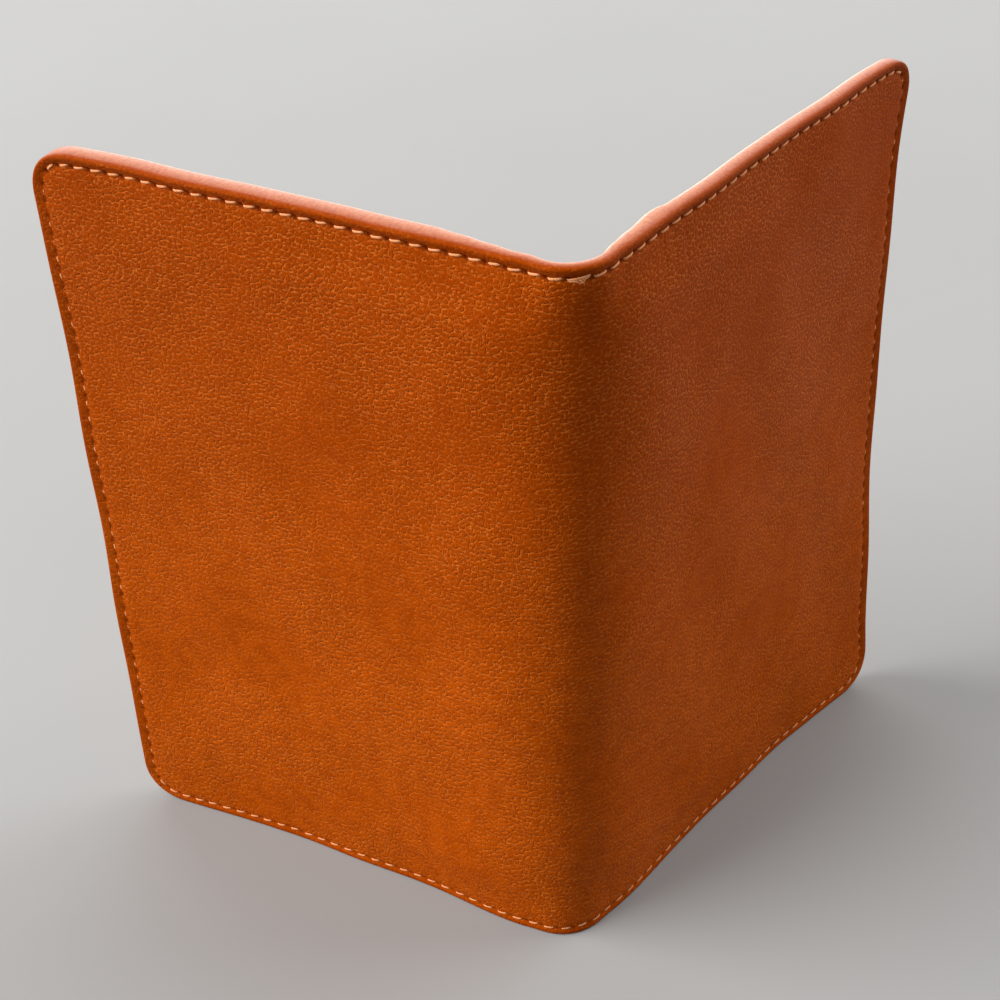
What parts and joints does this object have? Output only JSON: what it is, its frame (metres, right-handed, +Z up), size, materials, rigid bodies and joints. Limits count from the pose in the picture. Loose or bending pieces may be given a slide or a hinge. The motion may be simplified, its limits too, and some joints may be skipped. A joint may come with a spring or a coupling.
{
  "type": "travel document wallet",
  "caption": "Leather bifold travel wallet standing open on its edge, with a turned and stitched rim, a rolled spine, a passport sleeve and slip pockets for documents and cards.",
  "frame": {"origin": "on the surface the wallet stands on, under the middle of its open footprint", "axes": "+X from the back cover to the front cover, +Y from the rolled spine into the open side, +Z up the spine"},
  "size_m": [0.155, 0.0639, 0.1456],
  "materials": {
    "outer_leather": "satin",
    "inner_leather": "satin",
    "lining_cloth": "matte",
    "stiff_board": "matte",
    "seam_thread": "matte"
  },
  "bodies": {
    "spine": {"spine_cover": "outer_leather", "spine_lining": "lining_cloth", "spine_needle_thread_top": "seam_thread", "spine_needle_thread_bottom": "seam_thread", "spine_bobbin_thread_top": "seam_thread", "spine_bobbin_thread_bottom": "seam_thread"},
    "front": {"front_cover": "outer_leather", "front_board": "stiff_board", "front_lining": "lining_cloth", "passport_sleeve": "inner_leather", "front_needle_thread": "seam_thread", "front_bobbin_thread": "seam_thread"},
    "back": {"back_cover": "outer_leather", "back_board": "stiff_board", "back_lining": "lining_cloth", "document_sleeve": "inner_leather", "ticket_pocket": "inner_leather", "card_pocket": "inner_leather", "back_needle_thread": "seam_thread", "back_bobbin_thread": "seam_thread"}
  },
  "joints": [
    {"name": "front_fold", "type": "hinge", "parent": "spine", "child": "front", "pos_m": [0.00595, -0.02851, 0], "axis": [0, 0, 1], "range_deg": [-39, 51]},
    {"name": "back_fold", "type": "hinge", "parent": "spine", "child": "back", "pos_m": [-0.00595, -0.02851, 0], "axis": [0, 0, -1], "range_deg": [-39, 51]}
  ]
}
